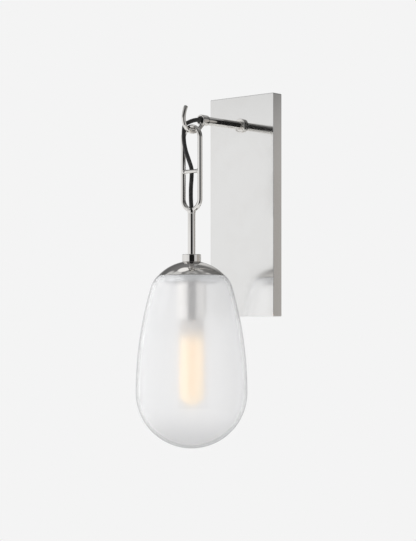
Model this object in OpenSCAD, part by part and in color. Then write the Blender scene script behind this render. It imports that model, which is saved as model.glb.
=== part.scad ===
// Wall sconce: a tall flat backplate carries a short straight arm. A round-bar
// hook under the arm's end holds a long chain link with a crossbar, and the
// link carries a stem, a domed cap, a lamp socket and an egg-shaped glass shade.
// Millimetres. The origin is the centre of the backplate's wall face. +Z is up,
// -Y points out of the wall into the room and +X is to the right.

/* [View] */
// Node to draw, or all

/* [Backplate] */
// Width of the backplate
plate_w = 95.2; // [85:0.1:115]
// Height of the backplate
plate_h = 254; // [225:1:290]
// Depth from the wall to the backplate's face
plate_d = 14.4; // [14:0.1:20]
// Sheet thickness of the backplate
plate_t = 1.6; // [1.2:0.1:2]
// Corner radius of the backplate's outline
plate_corner_r = 1.2; // [0.8:0.1:4]

/* [Wall bracket] */
// Width of the bracket strip
bracket_w = 26; // [20:1:34]
// Thickness of the bracket strip
bracket_t = 1.8; // [1.5:0.1:2.5]
// Distance between the two slots for the box screws
slot_spacing = 88.9; // [70:0.1:100]
// Width of a slot
slot_w = 5; // [4.4:0.1:6]
// Length of a slot from end to end
slot_l = 14; // [10:0.5:20]

/* [Arm] */
// Distance of the arm's axis below the plate's top edge
arm_below_top = 34; // [28:0.5:45]
// Distance from the plate's face to the arm's open mouth
arm_reach = 71; // [60:0.5:95]
// Outer diameter of the arm tube
arm_tube_d = 9.6; // [9:0.1:11]
// Bore of the arm tube
arm_bore_d = 7.2; // [7:0.1:7.6]
// Diameter of the collar at the plate
base_collar_d = 16.4; // [15:0.1:20]
// Thickness of the collar at the plate
base_collar_h = 3.4; // [2:0.1:5]
// Diameter of the sleeve at the arm's end
end_sleeve_d = 12; // [11.6:0.1:13]
// Length of the sleeve at the arm's end
end_sleeve_l = 10; // [9:0.5:12]

/* [Hook] */
// Diameter of the hook's round bar
hook_bar_d = 4.6; // [4:0.1:5]
// Drop from the arm's axis to the bar's centre at the hook's lowest point
hook_drop = 14.5; // [13.5:0.1:16]
// Distance from the arm's mouth to the hook's lowest point
hook_ahead = 14.5; // [13:0.1:16]
// Centreline radius behind the lowest point
hook_rear_r = 20; // [18:0.5:22]
// Centreline radius in front of the lowest point
hook_front_r = 13; // [12:0.1:14]
// Centreline radius of the tip
hook_tip_r = 28; // [24:0.5:32]

/* [Link] */
// Diameter of the link's round bar
link_bar_d = 5.5; // [5:0.1:6]
// Distance between the centres of the link's two legs
link_gap = 25; // [24:0.1:28]
// Height of the link from outside to outside
link_h = 98; // [90:0.5:120]
// Diameter of the crossbar
crossbar_d = 4.2; // [3.6:0.1:4.4]
// Place of the crossbar, as a share of the link's height below its top
crossbar_share = 0.53; // [0.5:0.01:0.55]

/* [Stem and cap] */
// Outer diameter of the stem
stem_d = 8.5; // [8:0.1:9]
// Length of the stem between the link and the collar on the cap
stem_l = 46; // [35:0.5:70]
// Diameter of the collar on the cap
cap_collar_d = 21.2; // [18:0.1:24]
// Height of the collar on the cap
cap_collar_h = 8.4; // [6:0.1:12]
// Outer radius of the cap's spherical face
cap_sphere_r = 51; // [49:0.5:56]
// Distance that the cap's rim lies inside the shade's widest place
cap_rim_inset = 24.8; // [24:0.1:26]
// Sheet thickness of the cap
cap_t = 1.2; // [1:0.1:1.4]

/* [Socket and lamp] */
// Diameter of the socket cup
cup_d = 33; // [32.8:0.1:34]
// Distance from the cap's rim to the cup's lower edge
cup_below_rim = 47.6; // [46:0.1:52]
// Diameter of the lamp's screw base
lamp_base_d = 26; // [26:0.1:26.2]
// Diameter of the lamp's tube
lamp_tube_d = 28; // [26:0.5:32]
// Distance from the cup's lower edge to the lamp's tip
lamp_below_cup = 97.2; // [92:0.1:100]

/* [Shade] */
// Largest outer radius of the glass shade
shade_r = 62; // [60:0.5:66]
// Height of the glass shade
shade_h = 191.6; // [188:0.1:205]
// Wall thickness of the glass shade
shade_t = 3.5; // [3:0.1:4]
// Radius of the long flank, seen from the side
shade_flank_r = 415; // [380:5:500]
// Radius of the shoulder, seen from the side
shade_shoulder_r = 27; // [24:0.5:32]

/* [Cord] */
// Diameter of the cord's jacket
cord_d = 4.7; // [4.4:0.1:4.8]

/* [Hidden] */
$fn = 96;

// Gap round a part that is slipped through a hole
fit_gap = 0.1;
// Gap between the link and the hook that it hangs on
hang_gap = 0.2;

arm_z = plate_h / 2 - arm_below_top;
mouth_out = plate_d + arm_reach;
hang_out = mouth_out + hook_ahead;
hook_low_z = arm_z - hook_drop;
hook_r = hook_bar_d / 2;
hook_rear_angle = 206;
hook_tip_angle = 31;
link_r = link_bar_d / 2;
link_arc_r = link_gap / 2;
link_top = hook_low_z + hook_r + hang_gap + link_bar_d;
link_bottom = link_top - link_h;
crossbar_z = link_top - crossbar_share * link_h;
stem_top = link_bottom + link_r;
cap_collar_top = link_bottom - stem_l;
cap_collar_bottom = cap_collar_top - cap_collar_h;

// The cap's sphere passes through the rim and meets the collar's lower edge
cap_rim_r = shade_r - cap_rim_inset;
cap_sphere_z = cap_collar_bottom - sqrt(pow(cap_sphere_r, 2) - pow(cap_collar_d / 2, 2));
cap_rim_z = cap_sphere_z + sqrt(pow(cap_sphere_r, 2) - pow(cap_rim_r, 2));

// The shade's outline in arcs that meet without a corner: a ball at the bottom,
// a long flank from the ball's widest place and a shoulder below the cap's rim
shade_bottom = cap_rim_z - shade_h;
ball_z = shade_bottom + shade_r;
flank_x = shade_r - shade_flank_r;
rim_dist = norm([cap_rim_r - flank_x, cap_rim_z - ball_z]);
rim_angle = atan2(cap_rim_z - ball_z, cap_rim_r - flank_x);
centre_dist = shade_flank_r - shade_shoulder_r;
shoulder_angle = rim_angle - acos(
    (pow(rim_dist, 2) + pow(centre_dist, 2) - pow(shade_shoulder_r, 2)) / (2 * rim_dist * centre_dist)
);
shoulder_x = flank_x + centre_dist * cos(shoulder_angle);
shoulder_z = ball_z + centre_dist * sin(shoulder_angle);
shade_mouth_r = shoulder_x + sqrt(pow(shade_shoulder_r - shade_t, 2) - pow(cap_rim_z - shoulder_z, 2));

// The hidden fastening and wiring behind the plate
nut_af = 14;
nut_h = 3.2;
washer_d = 16;
washer_h = 1;
arm_tail = plate_d - plate_t - washer_h - nut_h - 0.2;
set_screw_d = 4;
set_screw_l = 7;
set_screw_out = 6.5;
key_af = 2.3;
key_depth = 2;
ear_l = 10.6;
ear_gap = 0.4;
lead_d = 1.8;
lead_bend_r = 2;
lead_offset = 1.9;
lead_angles = [-60, 0, 60];
lead_out = arm_tail - lead_bend_r - 1;
nut_cap_d = 7;
nut_cap_l = 16;
ground_screw_d = 4;
ground_head_d = 8;

// The wire hole lies below the upper slot, and the ground screw at the end of
// the wire that runs straight down from the arm
wire_hole_d = 18;
slot_web = 3.45;
wire_hole_z = slot_spacing / 2 - slot_l / 2 - slot_web - wire_hole_d / 2;
lead_l = 22;
ground_z = arm_z - lead_offset - lead_l;

// The arm's end: the cord leaves through a bushing just inside the mouth
tube_inset = 2.4;
bushing_l = 6;
mouth_lip_r = 0.9;
flange_inset = 0.4;
base_collar_edge_r = 0.6;
cord_inset = 1;
cord_r = cord_d / 2;
stem_bore_d = cord_d + 0.9;

// The cap's collar and the fitting under the cap
cap_collar_edge_r = 0.5;
holder_t = 1;
holder_disc_r = 17.6;
spring_t = 0.4;
spring_gap = 0.3;
holder_skirt_r = shade_mouth_r - spring_gap - spring_t;
holder_skirt_h = 7;
holder_top = cap_sphere_z + sqrt(pow(cap_sphere_r - cap_t, 2) - pow(holder_disc_r, 2));
holder_slope_z = cap_rim_z + 1.2;
spring_w = 9;
cup_t = 0.9;
cup_corner = 3;
cup_top = holder_top - holder_t;
cup_bottom = cap_rim_z - cup_below_rim;
inner_nut_h = 3.5;
stem_bottom = cup_top - cup_t - inner_nut_h - 1.5;

// The socket, from the cup's lower edge upwards
insulator_inset = 1;
insulator_h = 43.2;
insulator_bottom = cup_bottom + insulator_inset;
insulator_top = insulator_bottom + insulator_h;
shell_t = 0.35;
shell_gap = 0.35;
shell_below_contact = 3;
shell_r = lamp_base_d / 2 + shell_gap;
shell_bottom = insulator_bottom + insulator_inset;
contact_depth = 25.4;
contact_z = cup_bottom + contact_depth;
contact_t = 0.8;
contact_r = 5;

// The lamp hangs with its base up and touches the centre contact
lamp_tip_z = cup_bottom - lamp_below_cup;
lamp_r = lamp_tube_d / 2;
lamp_t = 1;
base_h = 23;
base_t = 0.5;
base_cone_h = 3.4;
base_cone_r = 6;
base_tip_h = 1;
base_tip_r = 4.6;
base_top = contact_z - base_tip_h - base_cone_h;
base_bottom = base_top - base_h;
lamp_neck_r = lamp_base_d / 2 - base_t;
lamp_neck_h = 8;
lamp_shoulder_h = 9;
lamp_round_z = lamp_tip_z + lamp_r;

// Inside the lamp: a flared mount, two posts and two filament sticks on them
mount_in = 2;
mount_flare_h = 1.5;
pinch_h = 16;
pinch_r = 4.2;
pinch_top_r = 3.4;
post_d = 0.9;
post_l = 6;
post_x = 3;
filament_d = 1.8;
filament_above_round = 4.2;
mount_z = base_bottom + mount_in;
pinch_bottom = mount_z - pinch_h;
bridge_z = lamp_round_z + filament_above_round;

// The cord's free stretch. The first points are [x, out, up] from the centre of
// the arm's mouth. The others are [x, out, share]: out is measured from the
// link's plane and share is the drop from the link's top over its height.
cord_at_arm = [
    [0, 1.5, 0],
    [-2, 4.6, -0.2],
    [-4.6, 9, -1.6],
];
cord_at_link = [
    [-5.6, 0.4, -0.024],
    [-5.7, 3.4, -0.008],
    [-5.7, 5.4, 0.024],
    [-5.6, 6.5, 0.1],
    [-5.6, 6, 0.2],
    [-5.2, 3.8, 0.3],
    [-4.8, -0.6, 0.4],
    [-4.8, -4.6, 0.48],
    [-4.8, -5.4, 0.54],
    [-4.2, -4.4, 0.62],
    [-3.2, -2.4, 0.72],
    [-1.8, -0.8, 0.84],
    [-0.4, 0, 0.94],
];
cord_sides = 10;
cord_start = [0, -mouth_out + cord_inset, arm_z];
cord_end = [0, -hang_out, stem_top - 2];
cord_path = concat(
    [cord_start],
    [for (p = cord_at_arm) [p[0], -mouth_out - p[1], arm_z + p[2]]],
    [for (p = cord_at_link) [p[0], -hang_out - p[1], link_top - p[2] * link_h]],
    [cord_end]
);

metal = [0.78, 0.76, 0.73];
steel = [0.62, 0.63, 0.65];
brass = [0.75, 0.6, 0.3];
black = [0.06, 0.06, 0.06];
porcelain = [0.92, 0.9, 0.86];
glass = [0.92, 0.94, 0.95, 0.4];
amber = [1, 0.72, 0.35];

// Moves children to a place on the arm's axis, with local +Z out of the wall
module on_arm(out) {
    translate([0, -out, arm_z]) {
        rotate([90, 0, 0]) {
            children();
        }
    }
}

// Moves children to the pendant's axis at height z
module on_pendant(z) {
    translate([0, -hang_out, z]) {
        children();
    }
}

// Turns a drawing into the hook's plane: local X out of the wall, local Y up
module in_hook_plane(out, z) {
    translate([0, -out, z]) {
        rotate([90, 0, -90]) {
            children();
        }
    }
}

// A plain ring or tube along +Z
module ring(outer_r, inner_r, h) {
    difference() {
        cylinder(r = outer_r, h = h);
        translate([0, 0, -1]) {
            cylinder(r = inner_r, h = h + 2);
        }
    }
}

// A ring along +Z with both outer edges rounded
module soft_ring(outer_r, inner_r, h, edge) {
    rotate_extrude() {
        translate([inner_r, 0]) {
            square([outer_r - edge - inner_r, h]);
        }
        translate([inner_r, edge]) {
            square([outer_r - inner_r, h - 2 * edge]);
        }
        translate([outer_r - edge, edge]) {
            circle(r = edge);
        }
        translate([outer_r - edge, h - edge]) {
            circle(r = edge);
        }
    }
}

// A hexagonal nut along +Z
module hex_nut(across_flats, inner_r, h) {
    difference() {
        cylinder(d = across_flats / cos(30), h = h, $fn = 6);
        translate([0, 0, -1]) {
            cylinder(r = inner_r, h = h + 2);
        }
    }
}

// A bent round bar: part of a ring from one angle to another
module bent_bar(centre_r, bar_r, from, to) {
    rotate([0, 0, from]) {
        rotate_extrude(angle = to - from) {
            translate([centre_r, 0]) {
                circle(r = bar_r);
            }
        }
    }
}

// The outline of the backplate, drawn in the wall's plane
module plate_outline(inset) {
    w = plate_w - 2 * inset;
    h = plate_h - 2 * inset;
    r = plate_corner_r;
    square([w - 2 * r, h], center = true);
    square([w, h - 2 * r], center = true);
    for (x = [-1, 1], z = [-1, 1]) {
        translate([x * (w / 2 - r), z * (h / 2 - r)]) {
            circle(r = r);
        }
    }
}

// Raises a drawing in the wall's plane into a slab that starts out from the wall
module from_wall(out, h) {
    translate([0, -out, 0]) {
        rotate([90, 0, 0]) {
            linear_extrude(height = h) {
                children();
            }
        }
    }
}

module backplate() {
    color(metal) {
        difference() {
            from_wall(0, plate_d) {
                plate_outline(0);
            }
            from_wall(-1, plate_d - plate_t + 1) {
                plate_outline(plate_t);
            }
            on_arm(plate_d - plate_t - 1) {
                cylinder(r = arm_tube_d / 2 + fit_gap, h = plate_t + 2);
            }
            for (side = [0, 180]) {
                rotate([0, side, 0]) {
                    translate([0, -set_screw_out, plate_h / 2 - plate_t - 1]) {
                        cylinder(d = set_screw_d + 0.2, h = plate_t + 2);
                    }
                }
            }
        }
    }
}

// The slots' long sides run up and down, like the line that they lie on
module slot_outline() {
    straight = slot_l - slot_w;
    square([slot_w, straight], center = true);
    for (z = [-1, 1]) {
        translate([0, z * straight / 2]) {
            circle(d = slot_w);
        }
    }
}

module wall_bracket() {
    strip_h = plate_h - 2 * (plate_t + ear_gap);
    color(steel) {
        difference() {
            union() {
                from_wall(0, bracket_t) {
                    square([bracket_w, strip_h], center = true);
                }
                for (z = [-1, 1]) {
                    translate([-bracket_w / 2, -ear_l, z * (strip_h - bracket_t) / 2 - bracket_t / 2]) {
                        cube([bracket_w, ear_l, bracket_t]);
                    }
                }
            }
            from_wall(-1, bracket_t + 2) {
                for (z = [-1, 1]) {
                    translate([0, z * slot_spacing / 2]) {
                        slot_outline();
                    }
                }
                translate([0, wire_hole_z]) {
                    circle(d = wire_hole_d);
                }
            }
            translate([0, 1, ground_z]) {
                rotate([90, 0, 0]) {
                    cylinder(d = ground_screw_d, h = bracket_t + 2);
                }
            }
            for (side = [0, 180]) {
                rotate([0, side, 0]) {
                    translate([0, -set_screw_out, strip_h / 2 - bracket_t - 1]) {
                        cylinder(d = set_screw_d, h = bracket_t + 2);
                    }
                }
            }
        }
    }
}

// Headless screws in the top and bottom edges, with a hexagonal key socket
module plate_screws() {
    color(steel) {
        for (side = [0, 180]) {
            rotate([0, side, 0]) {
                translate([0, -set_screw_out, plate_h / 2 - set_screw_l]) {
                    difference() {
                        cylinder(d = set_screw_d, h = set_screw_l);
                        translate([0, 0, set_screw_l - key_depth]) {
                            cylinder(d = key_af, h = key_depth + 1, $fn = 6);
                        }
                    }
                }
            }
        }
    }
}

module ground_screw() {
    head_h = lead_out - lead_d / 2 - bracket_t;
    translate([0, 0, ground_z]) {
        rotate([90, 0, 0]) {
            color([0.2, 0.5, 0.25]) {
                cylinder(d = ground_screw_d, h = bracket_t);
                translate([0, 0, bracket_t]) {
                    cylinder(d = ground_head_d, h = head_h);
                }
            }
        }
    }
}

module arm_tube() {
    color(metal) {
        on_arm(arm_tail) {
            ring(arm_tube_d / 2, arm_bore_d / 2, mouth_out - tube_inset - arm_tail);
        }
    }
}

module base_collar() {
    color(metal) {
        on_arm(plate_d) {
            soft_ring(base_collar_d / 2, arm_tube_d / 2, base_collar_h, base_collar_edge_r);
        }
    }
}

module arm_washer() {
    color(steel) {
        on_arm(plate_d - plate_t - washer_h) {
            ring(washer_d / 2, arm_tube_d / 2, washer_h);
        }
    }
}

module arm_nut() {
    color(steel) {
        on_arm(plate_d - plate_t - washer_h - nut_h) {
            hex_nut(nut_af, arm_tube_d / 2, nut_h);
        }
    }
}

// A sleeve over the tube's end: its lip is rolled inwards at the open mouth
module end_sleeve() {
    lip_centre_r = end_sleeve_d / 2 - mouth_lip_r;
    color(metal) {
        on_arm(mouth_out - end_sleeve_l) {
            rotate_extrude() {
                translate([arm_tube_d / 2, 0]) {
                    square([end_sleeve_d / 2 - arm_tube_d / 2, end_sleeve_l - mouth_lip_r]);
                }
                translate([lip_centre_r, end_sleeve_l - mouth_lip_r]) {
                    circle(r = mouth_lip_r);
                }
            }
        }
    }
}

// A plastic bushing pressed into the tube, with a flange on the tube's end
module mouth_bushing() {
    color(black) {
        on_arm(mouth_out - tube_inset - bushing_l) {
            ring(arm_bore_d / 2, cord_r, bushing_l);
        }
        on_arm(mouth_out - tube_inset) {
            ring(arm_tube_d / 2 - flange_inset, cord_r, tube_inset - cord_inset - flange_inset);
        }
    }
}

module arm_cord() {
    color(black) {
        on_arm(arm_tail) {
            cylinder(r = cord_r, h = mouth_out - cord_inset - arm_tail);
        }
    }
}

// One insulated wire: it leaves the cord's end, bends and runs down in the plate
module lead(angle) {
    on_arm(0) {
        rotate([0, 0, angle]) {
            translate([0, -lead_offset, 0]) {
                translate([0, 0, lead_out + lead_bend_r]) {
                    cylinder(d = lead_d, h = arm_tail - lead_out - lead_bend_r);
                }
                translate([0, -lead_bend_r, lead_out + lead_bend_r]) {
                    rotate([90, 0, 90]) {
                        bent_bar(lead_bend_r, lead_d / 2, 270, 360);
                    }
                }
                translate([0, -lead_bend_r, lead_out]) {
                    rotate([90, 0, 0]) {
                        cylinder(d = lead_d, h = lead_l - lead_bend_r);
                    }
                }
            }
        }
    }
}

module supply_leads() {
    color([0.75, 0.75, 0.72]) {
        for (angle = lead_angles) {
            lead(angle);
        }
    }
}

// Twist-on caps where the two supply wires are joined
module wire_caps() {
    color([0.85, 0.45, 0.15]) {
        for (angle = [lead_angles[0], lead_angles[2]]) {
            on_arm(lead_out) {
                rotate([0, 0, angle]) {
                    translate([0, -lead_offset - lead_l, 0]) {
                        rotate([90, 0, 0]) {
                            cylinder(d1 = nut_cap_d, d2 = nut_cap_d - 2.4, h = nut_cap_l);
                        }
                    }
                }
            }
        }
    }
}

// The open hook: three bends of one round bar, brazed under the end sleeve
module hook() {
    color(metal) {
        difference() {
            union() {
                in_hook_plane(hang_out, hook_low_z + hook_rear_r) {
                    bent_bar(hook_rear_r, hook_r, 270, hook_rear_angle);
                }
                in_hook_plane(hang_out, hook_low_z + hook_front_r) {
                    bent_bar(hook_front_r, hook_r, 270, 360);
                }
                in_hook_plane(hang_out + hook_front_r - hook_tip_r, hook_low_z + hook_front_r) {
                    bent_bar(hook_tip_r, hook_r, 0, hook_tip_angle);
                }
            }
            on_arm(mouth_out - end_sleeve_l) {
                cylinder(d = end_sleeve_d, h = end_sleeve_l);
            }
        }
    }
}

function unit(v) = v / norm(v);

// The cord's direction at point i: straight out at the arm, straight down at the stem
function cord_dir(i) =
    i == 0 ? [0, -1, 0]
    : i == len(cord_path) - 1 ? [0, 0, -1]
    : unit(cord_path[i + 1] - cord_path[i - 1]);

// The ring of corners round point i, square to the cord's direction there
function cord_ring(i) =
    let (
        dir = cord_dir(i),
        side = unit([1, 0, 0] - dir[0] * dir),
        up = cross(dir, side)
    )
    [
        for (k = [0:cord_sides - 1])
            cord_path[i] + cord_r * (cos(k * 360 / cord_sides) * side + sin(k * 360 / cord_sides) * up)
    ];

module cord_span() {
    rings = len(cord_path);
    last = (rings - 1) * cord_sides;
    corners = [for (i = [0:rings - 1]) each cord_ring(i)];
    walls = [
        for (i = [0:rings - 2], k = [0:cord_sides - 1])
            let (next = (k + 1) % cord_sides)
            [i * cord_sides + k, (i + 1) * cord_sides + k, (i + 1) * cord_sides + next, i * cord_sides + next]
    ];
    ends = [
        [for (k = [0:cord_sides - 1]) k],
        [for (k = [0:cord_sides - 1]) last + cord_sides - 1 - k],
    ];
    color(black) {
        polyhedron(points = corners, faces = concat(walls, ends));
    }
}

module link_bends() {
    on_pendant(0) {
        rotate([90, 0, 0]) {
            translate([0, link_top - link_r - link_arc_r, 0]) {
                bent_bar(link_arc_r, link_r, 0, 180);
            }
            translate([0, link_bottom + link_r + link_arc_r, 0]) {
                bent_bar(link_arc_r, link_r, 180, 360);
            }
        }
    }
}

module link() {
    straight = link_h - 2 * (link_r + link_arc_r);
    color(metal) {
        difference() {
            union() {
                link_bends();
                for (x = [-1, 1]) {
                    translate([x * link_arc_r, -hang_out, link_bottom + link_r + link_arc_r]) {
                        cylinder(r = link_r, h = straight);
                    }
                }
            }
            on_pendant(link_bottom - 1) {
                cylinder(d = stem_d, h = link_bar_d + 2);
            }
        }
    }
}

// The crossbar flares where it is brazed to the two legs
module link_crossbar() {
    flare_l = 1.8;
    flare_d = crossbar_d + 1.6;
    inner_half = link_arc_r - link_r;
    color(metal) {
        difference() {
            on_pendant(crossbar_z) {
                rotate([0, 90, 0]) {
                    translate([0, 0, -link_arc_r]) {
                        cylinder(d = crossbar_d, h = link_gap);
                    }
                    for (side = [0, 180]) {
                        rotate([side, 0, 0]) {
                            translate([0, 0, inner_half - flare_l]) {
                                cylinder(d1 = crossbar_d, d2 = flare_d, h = flare_l + link_r);
                            }
                        }
                    }
                }
            }
            for (x = [-1, 1]) {
                translate([x * link_arc_r, -hang_out, crossbar_z - 10]) {
                    cylinder(r = link_r, h = 20);
                }
            }
        }
    }
}

module stem() {
    color(metal) {
        on_pendant(stem_bottom) {
            ring(stem_d / 2, stem_bore_d / 2, stem_top - stem_bottom);
        }
    }
}

module stem_cord() {
    color(black) {
        on_pendant(insulator_top) {
            cylinder(r = cord_r, h = stem_top - 2 - insulator_top);
        }
    }
}

// The collar's underside is turned to the cap's spherical face
module cap_collar() {
    color(metal) {
        difference() {
            on_pendant(cap_collar_bottom) {
                soft_ring(cap_collar_d / 2, stem_d / 2, cap_collar_h, cap_collar_edge_r);
            }
            on_pendant(cap_sphere_z) {
                sphere(r = cap_sphere_r);
            }
        }
    }
}

module cap() {
    reach = cap_sphere_r + 1;
    color(metal) {
        on_pendant(cap_sphere_z) {
            difference() {
                sphere(r = cap_sphere_r);
                sphere(r = cap_sphere_r - cap_t);
                translate([0, 0, -reach]) {
                    cylinder(r = reach, h = reach + cap_rim_z - cap_sphere_z);
                }
                cylinder(d = stem_d, h = reach);
            }
        }
    }
}

// A spun carrier under the cap: a flat disc, a slope and a skirt inside the glass
module shade_holder() {
    outer = [
        [stem_d / 2, holder_top],
        [holder_disc_r, holder_top],
        [holder_skirt_r, holder_slope_z],
        [holder_skirt_r, cap_rim_z - holder_skirt_h],
    ];
    inner = [
        [holder_skirt_r - holder_t, cap_rim_z - holder_skirt_h],
        [holder_skirt_r - holder_t, holder_slope_z - 0.5],
        [holder_disc_r - 0.5, holder_top - holder_t],
        [stem_d / 2, holder_top - holder_t],
    ];
    color(steel) {
        on_pendant(0) {
            rotate_extrude() {
                polygon(concat(outer, inner));
            }
        }
    }
}

// Flat springs on the skirt that grip the glass from inside
module shade_springs() {
    color(steel) {
        on_pendant(cap_rim_z - holder_skirt_h) {
            for (turn = [0, 120, 240]) {
                rotate([0, 0, turn]) {
                    intersection() {
                        ring(holder_skirt_r + spring_t, holder_skirt_r, holder_skirt_h - 1);
                        translate([0, -spring_w / 2, 0]) {
                            cube([holder_skirt_r + 5, spring_w, holder_skirt_h]);
                        }
                    }
                }
            }
        }
    }
}

// One nut clamps the cap, the carrier and the cup against the collar
module stem_nut() {
    color(steel) {
        on_pendant(cup_top - cup_t - inner_nut_h) {
            hex_nut(nut_af, stem_d / 2, inner_nut_h);
        }
    }
}

module cup_outline(r, top, corner) {
    translate([0, cup_bottom]) {
        square([r, top - corner - cup_bottom]);
    }
    translate([0, top - corner]) {
        square([r - corner, corner]);
    }
    translate([r - corner, top - corner]) {
        circle(r = corner);
    }
}

module socket_cup() {
    color(metal) {
        on_pendant(0) {
            rotate_extrude() {
                difference() {
                    cup_outline(cup_d / 2, cup_top, cup_corner);
                    translate([0, -1]) {
                        cup_outline(cup_d / 2 - cup_t, cup_top - cup_t + 1, cup_corner - cup_t);
                    }
                    translate([0, cup_bottom - 2]) {
                        square([cup_d / 2 - cup_t, 3]);
                    }
                    translate([0, cup_top - 5]) {
                        square([stem_d / 2, 6]);
                    }
                }
            }
        }
    }
}

// A porcelain body with a deep recess for the screw shell
module socket_insulator() {
    color(porcelain) {
        on_pendant(insulator_bottom) {
            difference() {
                cylinder(r = cup_d / 2 - cup_t, h = insulator_top - insulator_bottom);
                translate([0, 0, -1]) {
                    cylinder(r = shell_r + shell_t, h = contact_z + contact_t - insulator_bottom + 1);
                }
            }
        }
    }
}

module socket_shell() {
    color(brass) {
        on_pendant(shell_bottom) {
            ring(shell_r + shell_t, shell_r, contact_z - shell_below_contact - shell_bottom);
        }
    }
}

module socket_contact() {
    color(brass) {
        on_pendant(contact_z) {
            cylinder(r = contact_r, h = contact_t);
        }
    }
}

// The shade's solid outline, set in from the glass's outer face by inset
module shade_outline(inset) {
    shoulder = shade_shoulder_r - inset;
    flank = shade_flank_r - inset;
    ball = shade_r - inset;
    join_z = ball_z + flank * sin(shoulder_angle);
    intersection() {
        translate([shoulder_x, shoulder_z]) {
            circle(r = shoulder);
        }
        translate([shoulder_x, join_z]) {
            square([shoulder + 1, cap_rim_z - join_z]);
        }
    }
    translate([0, join_z]) {
        square([shoulder_x, cap_rim_z - join_z]);
    }
    intersection() {
        translate([flank_x, ball_z]) {
            circle(r = flank);
        }
        translate([0, ball_z]) {
            square([shade_r + 1, join_z - ball_z]);
        }
    }
    intersection() {
        translate([0, ball_z]) {
            circle(r = ball);
        }
        translate([0, ball_z - ball]) {
            square([ball, ball]);
        }
    }
}

module shade() {
    color(glass) {
        on_pendant(0) {
            rotate_extrude() {
                difference() {
                    shade_outline(0);
                    shade_outline(shade_t);
                    translate([0, cap_rim_z - 1]) {
                        square([shade_mouth_r, 2]);
                    }
                }
            }
        }
    }
}

module lamp_base() {
    color(steel) {
        on_pendant(base_bottom) {
            ring(lamp_base_d / 2, lamp_neck_r, base_h);
        }
    }
}

module lamp_insulator() {
    color(black) {
        on_pendant(base_top) {
            cylinder(r1 = lamp_base_d / 2, r2 = base_cone_r, h = base_cone_h);
        }
    }
}

module lamp_contact() {
    color(brass) {
        on_pendant(base_top + base_cone_h) {
            cylinder(r = base_tip_r, h = base_tip_h);
        }
    }
}

// The lamp's glass: a neck in the base, a shoulder and a round-ended tube
module lamp_outline(inset, neck_h) {
    shoulder_z = base_bottom - lamp_shoulder_h;
    translate([0, base_bottom]) {
        square([lamp_neck_r - inset, neck_h]);
    }
    polygon([
        [0, shoulder_z],
        [lamp_r - inset, shoulder_z],
        [lamp_neck_r - inset, base_bottom],
        [0, base_bottom],
    ]);
    translate([0, lamp_round_z]) {
        square([lamp_r - inset, shoulder_z - lamp_round_z]);
    }
    intersection() {
        translate([0, lamp_round_z]) {
            circle(r = lamp_r - inset);
        }
        translate([0, lamp_round_z - lamp_r]) {
            square([lamp_r, lamp_r]);
        }
    }
}

module lamp_envelope() {
    color(glass) {
        on_pendant(0) {
            rotate_extrude() {
                difference() {
                    lamp_outline(0, lamp_neck_h);
                    lamp_outline(lamp_t, lamp_neck_h + 1);
                }
            }
        }
    }
}

// The flare that closes the neck and the pinched glass that holds the wires
module lamp_mount() {
    color(glass) {
        on_pendant(0) {
            rotate_extrude() {
                polygon([
                    [0, pinch_bottom],
                    [pinch_r, pinch_bottom],
                    [pinch_top_r, mount_z],
                    [lamp_neck_r - lamp_t, mount_z],
                    [lamp_neck_r - lamp_t, mount_z + mount_flare_h],
                    [0, mount_z + mount_flare_h],
                ]);
            }
        }
    }
}

// Two posts out of the pinched glass, and the wire that joins the sticks' lower ends
module lamp_leads() {
    color(steel) {
        for (x = [-1, 1]) {
            translate([x * post_x, -hang_out, pinch_bottom - post_l]) {
                cylinder(d = post_d, h = post_l);
            }
        }
        translate([-post_x, -hang_out, bridge_z]) {
            rotate([0, 90, 0]) {
                cylinder(d = post_d, h = 2 * post_x);
            }
        }
    }
}

module lamp_filaments() {
    bottom = bridge_z + post_d / 2;
    color(amber) {
        for (x = [-1, 1]) {
            translate([x * post_x, -hang_out, bottom]) {
                cylinder(d = filament_d, h = pinch_bottom - post_l - bottom);
            }
        }
    }
}

backplate();
wall_bracket();
plate_screws();
ground_screw();
arm_tube();
base_collar();
arm_washer();
arm_nut();
end_sleeve();
mouth_bushing();
arm_cord();
supply_leads();
wire_caps();
hook();
cord_span();
link();
link_crossbar();
stem();
stem_cord();
cap_collar();
cap();
shade_holder();
shade_springs();
stem_nut();
socket_cup();
socket_insulator();
socket_shell();
socket_contact();
shade();
lamp_base();
lamp_insulator();
lamp_contact();
lamp_envelope();
lamp_mount();
lamp_leads();
lamp_filaments();
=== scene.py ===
"""Looks of the wall sconce: smooth meshes, finishes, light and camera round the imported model."""

import logging
import math
from dataclasses import KW_ONLY, dataclass
from enum import Enum
from functools import cache
from typing import Any, Mapping, Sequence

import bpy
from mathutils import Matrix, Vector


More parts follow.
